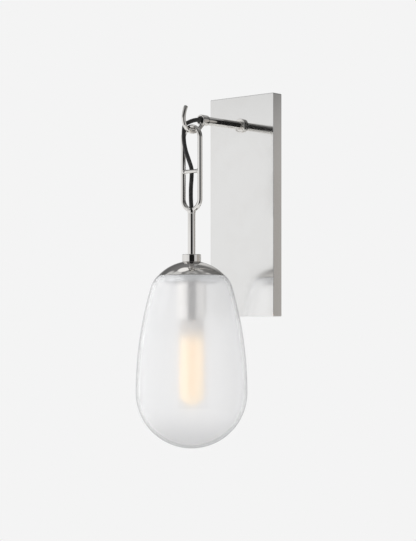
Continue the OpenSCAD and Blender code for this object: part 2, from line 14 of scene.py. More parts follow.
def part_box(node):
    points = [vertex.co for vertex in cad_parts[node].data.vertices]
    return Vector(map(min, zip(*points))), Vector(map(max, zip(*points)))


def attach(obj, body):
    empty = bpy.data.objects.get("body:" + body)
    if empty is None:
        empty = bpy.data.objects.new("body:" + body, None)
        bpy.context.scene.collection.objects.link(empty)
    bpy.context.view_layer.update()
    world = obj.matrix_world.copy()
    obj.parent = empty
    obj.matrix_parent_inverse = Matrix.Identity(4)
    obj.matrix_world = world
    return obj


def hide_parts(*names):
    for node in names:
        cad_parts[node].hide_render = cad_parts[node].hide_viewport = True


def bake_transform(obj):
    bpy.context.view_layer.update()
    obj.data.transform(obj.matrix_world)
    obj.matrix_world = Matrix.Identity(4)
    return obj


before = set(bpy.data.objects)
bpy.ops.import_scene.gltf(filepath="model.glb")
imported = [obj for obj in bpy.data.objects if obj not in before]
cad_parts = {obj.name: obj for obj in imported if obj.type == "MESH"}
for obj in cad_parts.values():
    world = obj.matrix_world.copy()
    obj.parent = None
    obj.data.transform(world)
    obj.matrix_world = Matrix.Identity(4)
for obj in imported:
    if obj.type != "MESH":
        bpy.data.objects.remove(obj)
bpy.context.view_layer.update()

LOG = logging.getLogger("sconce")
MM = 0.001
SHARP_ANGLE = math.radians(38)

Point2 = tuple[float, float]
Colour = tuple[float, float, float]
Tones = tuple[Point2, ...]
Socket = bpy.types.NodeSocket
Tree = bpy.types.NodeTree
Node = bpy.types.Node
Object = bpy.types.Object
Material = bpy.types.Material


class Body(Enum):
    """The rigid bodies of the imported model."""

    MOUNT = "mount"
    CORD = "cord"
    PENDANT = "pendant"
    SHADE = "shade"
    LAMP = "lamp"


class Turn(Enum):
    """The way a turned piece's axis points from its origin."""

    UP = (0.0, 0.0, 1.0)
    OUT = (0.0, -1.0, 0.0)
    RIGHT = (1.0, 0.0, 0.0)


class Kind(Enum):
    """The types of a node group's sockets."""

    FLOAT = "NodeSocketFloat"
    VECTOR = "NodeSocketVector"
    COLOUR = "NodeSocketColor"


# Mesh tools


def arc(centre: Point2, radius: float, start: float, end: float, steps: int) -> list[Point2]:
    """Points along an arc, both ends included.

    Args:
        centre: The arc's centre.
        radius: Its radius.
        start: The first angle in degrees.
        end: The last angle in degrees.
        steps: The number of pieces between the ends.

    Returns:
        The points in order.
    """
    points = []
    for i in range(steps + 1):
        angle = math.radians(start + (end - start) * i / steps)
        points.append((centre[0] + radius * math.cos(angle), centre[1] + radius * math.sin(angle)))
    return points


def new_object(name: str, verts: Sequence, faces: Sequence, marks: Sequence[int] = ()) -> Object:
    """Makes a smooth-shaded mesh object whose real edges stay sharp.

    Args:
        name: The object's name.
        verts: Its vertices in the row frame.
        faces: Its faces as vertex numbers.
        marks: The material slot of each face, or nothing for the first slot.

    Returns:
        The new object, linked to the scene.
    """
    mesh = bpy.data.meshes.new(name)
    mesh.from_pydata([tuple(v) for v in verts], [], [tuple(f) for f in faces])
    if marks:
        mesh.polygons.foreach_set("material_index", list(marks))
    mesh.polygons.foreach_set("use_smooth", [True] * len(mesh.polygons))
    mesh.set_sharp_from_angle(angle=SHARP_ANGLE)
    mesh.validate()
    mesh.update()
    piece = bpy.data.objects.new(name, mesh)
    bpy.context.scene.collection.objects.link(piece)
    return piece


def lathe(
    name: str,
    outline: Sequence[Point2],
    origin: Sequence[float],
    turn: Turn = Turn.UP,
    sides: int = 96,
    marks: Sequence[int] = (),
) -> Object:
    """Turns a closed outline of (radius, height) points into a solid.

    Args:
        name: The object's name.
        outline: The outline's points, anticlockwise with the radius to the right.
        origin: The place of height 0 on the axis, in the row frame.
        turn: The way the axis points.
        sides: The number of steps round the axis.
        marks: The material slot of the band that starts at each outline point.

    Returns:
        The new object.
    """
    rotation = Vector(Turn.UP.value).rotation_difference(Vector(turn.value))
    place = Matrix.Translation(Vector(origin)) @ rotation.to_matrix().to_4x4()
    rings, verts = [], []
    for radius, height in outline:
        if radius < 1e-7:
            rings.append([len(verts)] * sides)
            verts.append(place @ Vector((0.0, 0.0, height)))
            continue
        rings.append(list(range(len(verts), len(verts) + sides)))
        for k in range(sides):
            angle = 2 * math.pi * k / sides
            verts.append(place @ Vector((radius * math.cos(angle), radius * math.sin(angle), height)))
    faces, slots = [], []
    for i, low in enumerate(rings):
        high = rings[(i + 1) % len(rings)]
        for k in range(sides):
            after = (k + 1) % sides
            face = list(dict.fromkeys((low[k], low[after], high[after], high[k])))
            if len(face) > 2:
                faces.append(face)
                slots.append(marks[i] if marks else 0)
    return new_object(name, verts, faces, slots)


def skin(name: str, verts: Sequence, sides: int, closed: bool = False) -> Object:
    """Joins stacked rings of points into a solid.

    Args:
        name: The object's name.
        verts: The points, one ring after the other.
        sides: The number of points in a ring.
        closed: Whether the last ring joins the first. If not, each end gets a flat face.

    Returns:
        The new object.
    """
    count = len(verts) // sides
    faces = []
    for i in range(count if closed else count - 1):
        low, high = i * sides, (i + 1) % count * sides
        for k in range(sides):
            after = (k + 1) % sides
            faces.append((low + k, low + after, high + after, high + k))
    if not closed:
        faces += [tuple(reversed(range(sides))), tuple(range(len(verts) - sides, len(verts)))]
    return new_object(name, verts, faces)


def sweep(
    name: str, path: Sequence[Vector], radii: Sequence[float], sides: int, closed: bool = False
) -> Object:
    """Sweeps a round bar along a path, with a radius of its own at each point.

    Args:
        name: The object's name.
        path: The centreline's points in the row frame.
        radii: The bar's radius at each point.
        sides: The number of corners round the bar.
        closed: Whether the last point joins the first.

    Returns:
        The new object. An open bar has flat ends.
    """
    count = len(path)
    verts = []
    side = Vector((1.0, 0.0, 0.0))
    for i, point in enumerate(path):
        before = path[i - 1] if closed or i else path[0]
        after = path[(i + 1) % count] if closed or i < count - 1 else path[-1]
        ahead = (after - before).normalized()
        side = (side - side.dot(ahead) * ahead).normalized()
        up = ahead.cross(side)
        for k in range(sides):
            angle = 2 * math.pi * k / sides
            verts.append(point + radii[i] * (math.cos(angle) * side + math.sin(angle) * up))
    return skin(name, verts, sides, closed)


def smooth_path(points: Sequence[Vector], step: float) -> list[Vector]:
    """A smooth curve through the points, with a point about every step.

    Args:
        points: The points that the curve passes through.
        step: The distance between the curve's own points, in metres.

    Returns:
        The curve's points, both ends included.
    """
    ends = [2 * points[0] - points[1], *points, 2 * points[-1] - points[-2]]
    curve = [points[0]]
    for i in range(1, len(ends) - 2):
        before, a, b, after = ends[i - 1 : i + 3]
        pieces = max(2, round((b - a).length / step))
        for k in range(1, pieces + 1):
            t = k / pieces
            curve.append(
                0.5 * (2 * a + (b - before) * t + (2 * before - 5 * a + 4 * b - after) * t * t
                       + (3 * a - before - 3 * b + after) * t ** 3)
            )
    return curve


def path_length(path: Sequence[Vector]) -> float:
    """The length of a path in metres."""
    return sum((b - a).length for a, b in zip(path, path[1:]))


def half_width(node: str) -> float:
    """Half of a CAD node's size along x, which is the radius of a round one."""
    low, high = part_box(node)
    return (high.x - low.x) / 2


# Shader tools


def add_node(tree: Tree, kind: str, inputs: Mapping[str | int, Any] | None = None, **options: Any) -> Node:
    """Adds a shader node, sets its options and fills its inputs.

    Args:
        tree: The node tree.
        kind: The node's type.
        inputs: What each input gets: a socket is linked to it, and anything else is its value.
        options: The node's own options.

    Returns:
        The new node.
    """
    node = tree.nodes.new(kind)
    for name, value in options.items():
        setattr(node, name, value)
    for key, value in (inputs or {}).items():
        if isinstance(value, Socket):
            tree.links.new(value, node.inputs[key])
        else:
            node.inputs[key].default_value = value
    return node


def arithmetic(tree: Tree, operation: str, a: Any, b: Any, clamp: bool = False) -> Socket:
    """Works out one value from two.

    Args:
        tree: The node tree.
        operation: The name of what is done.
        a: The first value or its socket.
        b: The second value or its socket.
        clamp: Whether the result stays within 0 and 1.

    Returns:
        The result's socket.
    """
    return add_node(tree, "ShaderNodeMath", {0: a, 1: b}, operation=operation, use_clamp=clamp).outputs[0]


def share_of(tree: Tree, value: Socket, start: Any, end: Any, curve: str = "LINEAR") -> Socket:
    """Where a value stands between two limits, from 0 to 1.

    Args:
        tree: The node tree.
        value: The value's socket.
        start: The limit that gives 0, or its socket.
        end: The limit that gives 1, or its socket.
        curve: How the share rises.

    Returns:
        The share's socket.
    """
    inputs = {"Value": value, "From Min": start, "From Max": end}
    return add_node(tree, "ShaderNodeMapRange", inputs, interpolation_type=curve).outputs["Result"]


def mix(tree: Tree, factor: Any, low: Any, high: Any, blend: str = "MIX") -> Socket:
    """Mixes two colours.

    Args:
        tree: The node tree.
        factor: The share of the second colour, or its socket.
        low: The first colour, or its socket.
        high: The second colour, or its socket.
        blend: The way they are mixed.

    Returns:
        The mixed colour's socket.
    """
    inputs = {"Factor": factor}
    for key, colour in (("A", low), ("B", high)):
        inputs[key] = colour if isinstance(colour, Socket) else (*colour, 1.0)
    return add_node(tree, "ShaderNodeMix", inputs, data_type="RGBA", blend_type=blend).outputs["Result"]


def open_group(name: str, takes: Mapping[str, Kind], gives: Mapping[str, Kind]) -> tuple[Tree, Any, Any]:
    """Starts a node group.

    Args:
        name: The group's name.
        takes: The socket type of each input.
        gives: The socket type of each output.

    Returns:
        The group, the sockets that its inputs come in by and those that its outputs leave by.
    """
    group = bpy.data.node_groups.new(name, "ShaderNodeTree")
    for sockets, side in ((takes, "INPUT"), (gives, "OUTPUT")):
        for label, kind in sockets.items():
            group.interface.new_socket(label, in_out=side, socket_type=kind.value)
    return group, group.nodes.new("NodeGroupInput").outputs, group.nodes.new("NodeGroupOutput").inputs


def place_group(tree: Tree, group: Tree, **inputs: Any) -> Mapping[str, Socket]:
    """Places a node group with values of its own, and gives the sockets that its outputs leave by."""
    return add_node(tree, "ShaderNodeGroup", inputs, node_tree=group).outputs


@cache
def marks_group() -> Tree:
    """Faint smears of handling: a roughness that varies in soft patches and fine specks.

    Returns:
        The group, with the inputs Size, Base and Spread and the outputs Roughness and Mask.
    """
    group, takes, gives = open_group(
        "handling_marks",
        dict.fromkeys(("Size", "Base", "Spread"), Kind.FLOAT),
        dict.fromkeys(("Roughness", "Mask"), Kind.FLOAT),
    )
    place = add_node(group, "ShaderNodeTexCoord").outputs["Object"]
    patches = {"Vector": place, "Scale": takes["Size"], "Detail": 4.0, "Distortion": 0.6}
    mask = share_of(group, add_node(group, "ShaderNodeTexNoise", patches).outputs["Fac"], 0.42, 0.68)
    spread = arithmetic(group, "MULTIPLY", mask, takes["Spread"])
    group.links.new(arithmetic(group, "ADD", spread, takes["Base"]), gives["Roughness"])
    group.links.new(mask, gives["Mask"])
    return group


@cache
def grain_group() -> Tree:
    """Fine relief of a surface: a noise that is stretched along one direction.

    Returns:
        The group, with the inputs Stretch and Size and the output Height.
    """
    kinds = {"Stretch": Kind.VECTOR, "Size": Kind.FLOAT}
    group, takes, gives = open_group("surface_grain", kinds, {"Height": Kind.FLOAT})
    place = add_node(group, "ShaderNodeTexCoord").outputs["Object"]
    scaled = add_node(group, "ShaderNodeVectorMath", {0: place, 1: takes["Stretch"]}, operation="MULTIPLY").outputs[0]
    noise = add_node(group, "ShaderNodeTexNoise", {"Vector": scaled, "Scale": takes["Size"], "Detail": 3.0})
    group.links.new(noise.outputs["Fac"], gives["Height"])
    return group


@cache
def fade_group() -> Tree:
    """A colour that goes from one tone to another over a share of the piece's height.

    Returns:
        The group, with the inputs From, To, Low and High and the output Colour.
    """
    kinds = {"From": Kind.FLOAT, "To": Kind.FLOAT, "Low": Kind.COLOUR, "High": Kind.COLOUR}
    group, takes, gives = open_group("height_fade", kinds, {"Colour": Kind.COLOUR})
    place = add_node(group, "ShaderNodeTexCoord").outputs["Generated"]
    height = add_node(group, "ShaderNodeSeparateXYZ", {0: place}).outputs["Z"]
    share = share_of(group, height, takes["From"], takes["To"], "SMOOTHSTEP")
    group.links.new(mix(group, share, takes["Low"], takes["High"]), gives["Colour"])
    return group


@cache
def softbox_group() -> Tree:
    """A round patch of light round an axis, with a soft rim.

    Returns:
        The group, with the inputs Direction, Axis, Core, Rim and Tone and the output Tone.
    """
    kinds = {"Direction": Kind.VECTOR, "Axis": Kind.VECTOR, **dict.fromkeys(("Core", "Rim", "Tone"), Kind.FLOAT)}
    group, takes, gives = open_group("softbox", kinds, {"Tone": Kind.FLOAT})
    aims = {0: takes["Direction"], 1: takes["Axis"]}
    towards = add_node(group, "ShaderNodeVectorMath", aims, operation="DOT_PRODUCT").outputs["Value"]
    share = share_of(group, towards, takes["Rim"], takes["Core"], "SMOOTHSTEP")
    group.links.new(arithmetic(group, "MULTIPLY", share, takes["Tone"]), gives["Tone"])
    return group


# Finishes


@dataclass(frozen=True)
class Relief:
    """A fine relief: its stretch along x, y and z, its scale and its height in metres."""

    stretch: Colour
    scale: float
    depth: float


@dataclass(frozen=True)
class Finish:
    """A surface's looks, made as one procedural material; most finishes give its roughness handling marks."""

    name: str
    colour: Colour
    _: KW_ONLY
    roughness: float = 0.35
    spread: float = 0.1
    mark_size: float = 400.0

    def start(self, inputs: Mapping[str, Any]) -> tuple[Material, Tree, Node]:
        """Makes a material with one Principled shader.

        Args:
            inputs: The shader's plain values.

        Returns:
            The material, its node tree and its shader.
        """
        material = bpy.data.materials.new(self.name)
        material.use_nodes = True
        shader = material.node_tree.nodes["Principled BSDF"]
        for key, value in inputs.items():
            shader.inputs[key].default_value = value
        return material, material.node_tree, shader

    def wear(self, tree: Tree, shader: Node) -> Socket:
        """Gives a shader's roughness the finish's handling marks.

        Args:
            tree: The material's node tree.
            shader: Its shader.

        Returns:
            The socket of the marks' mask.
        """
        marks = place_group(tree, marks_group(), Size=self.mark_size, Base=self.roughness, Spread=self.spread)
        tree.links.new(marks["Roughness"], shader.inputs["Roughness"])
        return marks["Mask"]

    @staticmethod
    def relieve(tree: Tree, shader: Node, relief: Relief) -> None:
        """Bends a shader's normal by a fine relief.

        Args:
            tree: The material's node tree.
            shader: Its shader.
            relief: The relief's measures.
        """
        grain = place_group(tree, grain_group(), Stretch=relief.stretch, Size=relief.scale)
        inputs = {"Strength": 1.0, "Distance": relief.depth, "Height": grain["Height"]}
        tree.links.new(add_node(tree, "ShaderNodeBump", inputs).outputs["Normal"], shader.inputs["Normal"])

    def build(self) -> Material:
        """Makes the material. Each kind of finish has its own way."""
        raise NotImplementedError


@dataclass(frozen=True)
class Worn(Finish):
    """A surface whose colour and roughness vary in soft marks, over a fine relief."""

    marked: Colour
    relief: Relief

    def plain_values(self) -> dict[str, float]:
        """The shader's plain values."""
        return {}

    def build(self) -> Material:
        """Makes the material.

        Returns:
            The new material.
        """
        material, tree, shader = self.start(self.plain_values())
        mask = self.wear(tree, shader)
        tree.links.new(mix(tree, mask, self.colour, self.marked), shader.inputs["Base Color"])
        self.relieve(tree, shader, self.relief)
        return material


@dataclass(frozen=True)
class PolishedMetal(Worn):
    """A bright metal with a mirror polish, faint smears and hairline polishing marks."""

    _: KW_ONLY
    mark_size: float = 38.0
    hairline: float = 0.0

    def plain_values(self) -> dict[str, float]:
        """The shader's plain values: a metal that hairlines make spread what it mirrors."""
        return {"Metallic": 1.0, "Anisotropic": self.hairline}

    def build(self) -> Material:
        """Makes the material, with upright hairlines where it has any.

        Returns:
            The new material.
        """
        material = super().build()
        if self.hairline:
            tree = material.node_tree
            level = add_node(tree, "ShaderNodeTangent", direction_type="RADIAL", axis="Z")
            tree.links.new(level.outputs["Tangent"], tree.nodes["Principled BSDF"].inputs["Tangent"])
        return material


@dataclass(frozen=True)
class PlatedSteel(Worn):
    """Zinc-plated sheet or hardware, dull with a mottled grain."""

    relief: Relief = Relief((1.0, 1.0, 1.0), 900.0, 0.00002)
    _: KW_ONLY
    spread: float = 0.16
    mark_size: float = 160.0

    def plain_values(self) -> dict[str, float]:
        """The shader's plain values: bare metal."""
        return {"Metallic": 1.0}


@dataclass(frozen=True)
class Moulded(Worn):
    """Moulded plastic, rubber or glazed ware: one colour with a little mottling and a fine skin."""

    _: KW_ONLY
    spread: float = 0.12
    mark_size: float = 220.0
    coat: float = 0.0

    def plain_values(self) -> dict[str, float]:
        """The shader's plain values: a thin gloss coat."""
        return {"Coat Weight": self.coat, "Coat Roughness": 0.12}


@dataclass(frozen=True)
class Glass(Finish):
    """Blown glass: clear where its roughness is near nothing and satin where it is etched, with a painted glow in its
    emission and a tint painted at its rim.
    """

    # The rim tint is painted where the glass is seen edge on: partly the deeper colour of a longer path through glass,
    # partly a painted outline, darker on the clear face and lighter on the satin face.
    painted_rim_tint: Colour
    wave: float
    _: KW_ONLY
    # The glow is painted into the emission and stands in for lamp light scattered in the etched glass: stronger where
    # the rim is seen edge on, weaker at the bottom.
    painted_glow: Colour = (0.0, 0.0, 0.0)
    painted_rim_glow: Colour = (0.0, 0.0, 0.0)
    painted_low_glow: Colour = (0.0, 0.0, 0.0)
    clearness: float = 1.0
    index: float = 1.48
    tint_span: Point2 = (0.68, 0.86)
    glow_rim_span: Point2 = (0.25, 0.75)
    glow_fade_span: Point2 = (-0.02, 0.24)
    mark_size: float = 60.0
    wave_stretch: Colour = (1.0, 1.0, 0.5)
    wave_scale: float = 34.0

    def build(self) -> Material:
        """Makes the material, with a tint painted at its rim where the glass is seen edge on: partly the deeper colour
        of more glass in the way, partly painted shade.

        Returns:
            The new material.
        """
        material, tree, shader = self.start({"Transmission Weight": self.clearness, "IOR": self.index})
        tint = mix(tree, self.rim(tree, self.tint_span), self.colour, self.painted_rim_tint)
        tree.links.new(tint, shader.inputs["Base Color"])
        # Paints the glow into the emission.
        if any(self.painted_glow):
            self.light(tree, shader)
        self.wear(tree, shader)
        self.relieve(tree, shader, Relief(self.wave_stretch, self.wave_scale, self.wave))
        return material

    @staticmethod
    def rim(tree: Tree, span: Point2) -> Socket:
        """A mask of the glass's rim, where it is seen edge on."""
        return share_of(tree, add_node(tree, "ShaderNodeLayerWeight").outputs["Facing"], *span)

    def light(self, tree: Tree, shader: Node) -> None:
        """Adds a painted glow to the emission, standing in for lamp light that the etching scatters: painted stronger
        at the rim and weaker at the bottom.

        Args:
            tree: The material's node tree.
            shader: Its shader.
        """
        painted_glow = mix(tree, self.rim(tree, self.glow_rim_span), self.painted_glow, self.painted_rim_glow)
        low, high = self.glow_fade_span
        fade = place_group(tree, fade_group(), From=low, To=high, Low=(*self.painted_low_glow, 1.0), High=painted_glow)
        shader.inputs["Emission Strength"].default_value = 1.0
        tree.links.new(fade["Colour"], shader.inputs["Emission Color"])


@dataclass(frozen=True)
class Glow(Finish):
    """The lamp's lit glass: bright in the middle, dimmer at its edges and dark at its neck."""

    neck_colour: Colour
    light: Colour
    core: Colour
    strength: float
    cover: float
    neck_span: Point2
    edge: Colour = (0.42, 0.38, 0.33)
    neck_light: Colour = (0.12, 0.115, 0.11)
    core_span: Point2 = (0.004, 0.1)
    edge_span: Point2 = (0.32, 0.72)

    def build(self) -> Material:
        """Makes the material.

        Returns:
            The new material.
        """
        values = {"Roughness": self.roughness, "Alpha": self.cover, "Emission Strength": self.strength}
        material, tree, shader = self.start(values)
        facing = add_node(tree, "ShaderNodeLayerWeight").outputs["Facing"]
        middle = mix(tree, share_of(tree, facing, *self.core_span), self.core, self.light)
        shine = mix(tree, share_of(tree, facing, *self.edge_span), middle, self.edge)
        for goal, low, high in (
            ("Base Color", (*self.colour, 1.0), self.neck_colour),
            ("Emission Color", shine, self.neck_light),
        ):
            start, end = self.neck_span
            fade = place_group(tree, fade_group(), From=start, To=end, Low=low, High=(*high, 1.0))
            tree.links.new(fade["Colour"], shader.inputs[goal])
        return material


@dataclass(frozen=True)
class Ember(Finish):
    """A glowing wire, the same all over but for its marks."""

    light: Colour
    strength: float

    def build(self) -> Material:
        """Makes the material.

        Returns:
            The new material.
        """
        colours = {"Base Color": (*self.colour, 1.0), "Emission Color": (*self.light, 1.0)}
        material, tree, shader = self.start({**colours, "Emission Strength": self.strength})
        self.wear(tree, shader)
        return material


@dataclass(frozen=True)
class Matte(Finish):
    """A plain matt surface for the floor."""

    _: KW_ONLY
    roughness: float = 0.85
    mark_size: float = 3.0

    def build(self) -> Material:
        """Makes the material.

        Returns:
            The new material.
        """
        material, tree, shader = self.start({"Base Color": (*self.colour, 1.0)})
        self.wear(tree, shader)
        return material


NICKEL = PolishedMetal(
    "polished_nickel", (0.87, 0.855, 0.835), (0.85, 0.83, 0.80), Relief((60.0, 60.0, 900.0), 1.0, 0.000004),
    roughness=0.03, spread=0.03,
)
PLATE_NICKEL = PolishedMetal(
    "mirror_plate", (0.87, 0.868, 0.86), (0.855, 0.85, 0.84), Relief((420.0, 60.0, 12.0), 1.0, 0.000002),
    roughness=0.1, spread=0.01, hairline=1.0,
)
BRASS = PolishedMetal(
    "brass", (0.78, 0.58, 0.26), (0.7, 0.5, 0.22), Relief((300.0, 300.0, 60.0), 1.0, 0.00001),
    roughness=0.22, spread=0.15,
)
LAMP_SHELL = PolishedMetal(
    "lamp_shell", (0.78, 0.77, 0.74), (0.7, 0.69, 0.66), Relief((300.0, 300.0, 300.0), 1.0, 0.00001),
    roughness=0.2, spread=0.12,
)
ZINC = PlatedSteel("zinc_steel", (0.84, 0.85, 0.86), (0.76, 0.77, 0.79), roughness=0.34)
GREEN = PlatedSteel("green_screw", (0.08, 0.36, 0.15), (0.05, 0.28, 0.11), roughness=0.4)
EVEN = (1.0, 1.0, 1.0)
JACKET = Moulded(
    "black_cord", (0.012, 0.012, 0.012), (0.02, 0.019, 0.018), Relief(EVEN, 1500.0, 0.00003), roughness=0.36, coat=0.12
)
BLACK_PLASTIC = Moulded(
    "black_plastic", (0.015, 0.015, 0.015), (0.025, 0.025, 0.025), Relief(EVEN, 1200.0, 0.00002), roughness=0.4
)
INSULATION = Moulded(
    "wire_insulation", (0.68, 0.67, 0.62), (0.6, 0.59, 0.55), Relief(EVEN, 900.0, 0.00002), roughness=0.4, coat=0.1
)
ORANGE_PLASTIC = Moulded(
    "orange_plastic", (0.72, 0.25, 0.05), (0.62, 0.2, 0.04), Relief(EVEN, 800.0, 0.00003), roughness=0.45
)
PORCELAIN = Moulded(
    "porcelain", (0.88, 0.86, 0.81), (0.84, 0.81, 0.75), Relief(EVEN, 300.0, 0.00002), roughness=0.2, coat=0.6
)
# The clear face's dark rim tint is a painted outline of shade.
CLEAR_FACE = Glass(
    "shade_clear_face", (0.986, 0.99, 0.994), (0.31, 0.32, 0.33), 0.00002, roughness=0.0, spread=0.015, clearness=0.93
)
# The satin face carries the painted glow in its emission; its lighter rim tint is a painted highlight.
SATIN_FACE = Glass(
    "shade_satin_face", (0.606, 0.604, 0.604), (0.9, 0.9, 0.9), 0.00001, roughness=0.3, spread=0.04,
    painted_glow=(0.19, 0.189, 0.19), painted_rim_glow=(0.238, 0.243, 0.249), painted_low_glow=(0.055, 0.055, 0.057),
)
# The lamp glass's slightly darker rim tint is a faint painted outline of shade.
LAMP_GLASS = Glass("lamp_glass", (1.0, 0.98, 0.94), (0.9, 0.88, 0.85), 0.00001, roughness=0.12, spread=0.03)
LAMP_GLOW = Glow(
    "lamp_glow", (1.0, 0.9, 0.74), (0.97, 0.95, 0.93), (1.0, 0.86, 0.62), (0.82, 0.55, 0.3), 0.42, 0.85, (0.64, 0.86)
)
FILAMENT = Ember("filament", (1.0, 0.6, 0.25), (1.0, 0.45, 0.12), 3.0)
FLOOR = Matte("pale_floor", (0.8, 0.8, 0.79))


class Palette:
    """Builds each finish once and hands it out."""

    def __init__(self) -> None:
        """Starts with no material built."""
        self.built: dict[str, Material] = {}

    def get(self, finish: Finish) -> Material:
        """The material of a finish, made at its first use.

        Args:
            finish: The finish.

        Returns:
            Its material.
        """
        if finish.name not in self.built:
            self.built[finish.name] = finish.build()
        return self.built[finish.name]

    def dress(self, piece: Object, *finishes: Finish) -> Object:
        """Puts finishes in a piece's material slots, in order.

        Args:
            piece: The object to dress.
            finishes: One finish for each of its slots.

        Returns:
            The same object.
        """
        if piece.data.materials:
            piece.data.materials.clear()
        for finish in finishes:
            piece.data.materials.append(self.get(finish))
        return piece


# Camera, light and floor


@dataclass(frozen=True)
class Softbox:
    """A round soft light, or a round dark card, that only the polished metal shows."""

    axis: Colour
    core: float
    rim: float
    tone: float


@dataclass
class Studio:
    """The camera of the photograph, a pale surround with dark gaps and a floor.

    The tones of the walls and of the room go by compass direction, as a share of a full turn: 0 is -Y, 0.25 is -X,
    0.5 is +Y and 0.75 is +X. Those of the heights go from straight down at 0 to straight up at 1.
    """

    palette: Palette
    azimuth: float = 41.5
    place: Colour = (1.063, -1.274, -0.1137)
    lens: float = 95.0
    horizon_drop: float = 0.0638
    floor_z: float = -1.25
    floor_r: float = 1.9
    target: Colour = (0.0, -0.1, -0.05)
    pale: Colour = (0.905, 0.905, 0.905)
    shadow: Colour = (0.012, 0.012, 0.012)
    flag: Softbox = Softbox((0.6226, -0.7038, 0.342), 14.0, 28.0, 1.0)
    softboxes: tuple[Softbox, ...] = (
        Softbox((-0.386, 0.129, 0.914), 6.0, 11.0, 0.95),
        Softbox((-0.707, -0.018, 0.707), 6.0, 13.0, 0.60),
        Softbox((-0.467, -0.130, 0.875), 7.0, 14.0, 0.62),
        Softbox((0.203, 0.490, 0.848), 5.0, 9.0, 0.55),
        Softbox((0.131, 0.707, 0.695), 4.0, 7.5, 0.50),
        Softbox((-0.042, 0.372, 0.927), 3.0, 7.0, 0.45),
        Softbox((-0.352, 0.705, 0.616), 10.0, 22.0, 0.40),
        Softbox((-0.574, -0.649, 0.5), 9.0, 21.0, 0.75),
        Softbox((-0.847, -0.300, 0.438), 9.0, 20.0, 0.60),
    )
    walls: Tones = (
        (0.0, 0.76), (0.09, 0.86), (0.14, 0.86), (0.2, 0.8), (0.385, 0.77), (0.575, 0.77), (0.592, 0.4), (0.69, 0.36),
        (0.703, 0.62), (0.783, 0.62), (0.796, 0.012), (0.955, 0.012), (0.967, 0.74),
    )
    warm_span: Point2 = (0.59, 0.7)
    warmth: float = 0.05
    heights: Tones = (
        (0.0, 0.6), (0.14, 0.32), (0.3, 0.3), (0.45, 0.5), (0.55, 0.5), (0.64, 0.18), (0.74, 0.13), (0.84, 0.17),
        (0.924, 0.2), (0.964, 0.32), (0.985, 0.2), (0.997, 0.44), (1.0, 0.24),
    )
    wall_reach: Tones = ((0.14, 0.0), (0.25, 1.0), (0.555, 1.0), (0.65, 0.0))
    through_glass: Tones = (
        (0.0, 0.9), (0.1, 1.0), (0.15, 1.26), (0.23, 1.24), (0.31, 0.98), (0.35, 0.885), (0.42, 0.885), (0.47, 0.46),
        (0.62, 0.26), (0.75, 0.5), (0.9, 0.82),
    )
    inside_shade: Tones = (
        (0.0, 1.0), (0.04, 1.3), (0.09, 1.3), (0.115, 1.42), (0.15, 1.38), (0.3, 1.3), (0.4, 1.0), (0.5, 0.95),
        (0.7, 0.75), (0.783, 0.7), (0.796, 0.012), (0.955, 0.012), (0.967, 0.9),
    )

    def camera(self) -> None:
        """Sets up a level camera whose frame is shifted up, as in the photograph."""
        data = bpy.data.cameras.new("photo_camera")
        data.lens = self.lens
        data.sensor_width = 36.0
        data.shift_y = self.horizon_drop
        data.clip_start = 0.05
        camera = bpy.data.objects.new("photo_camera", data)
        camera.location = self.place
        camera.rotation_euler = (math.radians(90), 0.0, math.radians(self.azimuth))
        bpy.context.scene.collection.objects.link(camera)
        bpy.context.scene.camera = camera

    def floor(self) -> None:
        """Lays a plain pale floor well below the sconce, as under a wall light."""
        rim = arc((0.0, 0.0), self.floor_r, 0, 360, 96)[:-1]
        piece = new_object("floor", [(x, y, self.floor_z) for x, y in rim], [tuple(range(len(rim)))])
        self.palette.dress(piece, FLOOR)

    def panel(self, name: str, place: Colour, size: Point2, power: float) -> None:
        """Hangs one soft panel light that faces the shade.

        Args:
            name: The light's name.
            place: Its place in the row frame.
            size: Its width and height in metres.
            power: Its power in watts.
        """
        data = bpy.data.lights.new(name, "AREA")
        data.shape = "RECTANGLE"
        data.size, data.size_y = size
        data.energy = power
        light = bpy.data.objects.new(name, data)
        light.location = place
        aim = Vector(self.target) - Vector(place)
        light.rotation_euler = aim.to_track_quat("-Z", "Y").to_euler()
        light.visible_glossy = False
        light.visible_transmission = False
        bpy.context.scene.collection.objects.link(light)

    def surround(self) -> None:
        """Paints the room round the sconce: pale walls, and darker gaps for the metal to mirror."""
        world = bpy.data.worlds.new("studio")
        world.use_nodes = True
        bpy.context.scene.world = world
        tree = world.node_tree
        ahead = add_node(tree, "ShaderNodeTexCoord").outputs["Generated"]
        parts = add_node(tree, "ShaderNodeSeparateXYZ", {0: ahead}).outputs
        turn = arithmetic(tree, "ARCTAN2", parts["X"], parts["Y"])
        compass = share_of(tree, turn, -math.pi, math.pi)
        rise = share_of(tree, parts["Z"], -1.0, 1.0)
        walls = self.ramp(tree, compass, self.walls, self.warm_span)
        room = mix(tree, self.ramp(tree, rise, self.wall_reach), self.ramp(tree, rise, self.heights), walls)
        room = mix(tree, self.patch(tree, ahead, self.flag), room, self.shadow)
        for softbox in self.softboxes:
            room = mix(tree, 1.0, room, self.patch(tree, ahead, softbox), "LIGHTEN")
        path = add_node(tree, "ShaderNodeLightPath").outputs
        plain = mix(tree, path["Is Camera Ray"], self.ramp(tree, compass, self.through_glass), self.pale)
        seen = mix(tree, self.behind_glass(tree, path), plain, self.ramp(tree, compass, self.inside_shade))
        mirrored = arithmetic(tree, "SUBTRACT", path["Is Glossy Ray"], path["Is Transmission Ray"], clamp=True)
        tree.links.new(mix(tree, mirrored, seen, room), tree.nodes["Background"].inputs["Color"])

